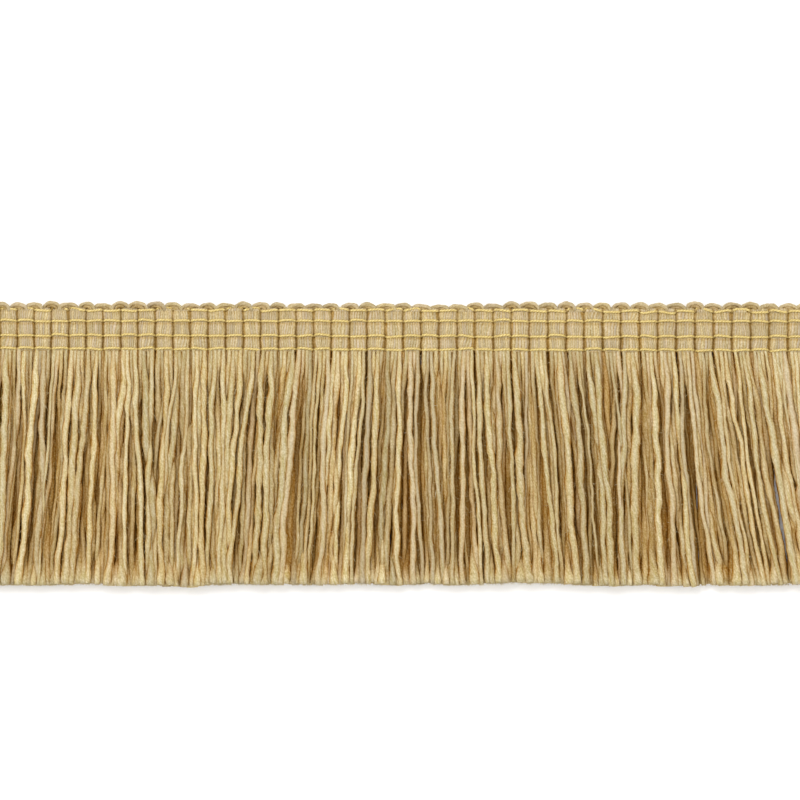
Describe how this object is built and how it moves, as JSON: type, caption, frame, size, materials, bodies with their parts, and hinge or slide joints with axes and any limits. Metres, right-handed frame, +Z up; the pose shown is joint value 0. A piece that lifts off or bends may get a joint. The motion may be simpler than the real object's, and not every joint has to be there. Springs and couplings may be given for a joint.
{
  "type": "brush fringe trim",
  "caption": "Cut length of brush fringe trim lying face up: a ribbed woven heading with a looped top edge, gold binder threads and a thick fringe of soft cut yarn strands.",
  "frame": {"origin": "on the surface that the trim lies on, under the middle of its outline", "axes": "+X along the trim, +Y from the cut ends of the strands to the looped edge, +Z up out of the trim's face"},
  "size_m": [0.2015, 0.0601, 0.0037],
  "materials": {
    "heading_yarn": "matte cream and beige yarn, ribbed",
    "fringe_yarn": "soft brushed golden cream yarn",
    "binder_thread": "shiny twisted gold thread"
  },
  "bodies": {
    "root": {"heading": "heading_yarn", "binder_thread_1": "binder_thread", "binder_thread_2": "binder_thread", "binder_thread_3": "binder_thread", "binder_thread_4": "binder_thread", "fringe_front": "fringe_yarn", "fringe_back": "fringe_yarn"}
  },
  "joints": []
}
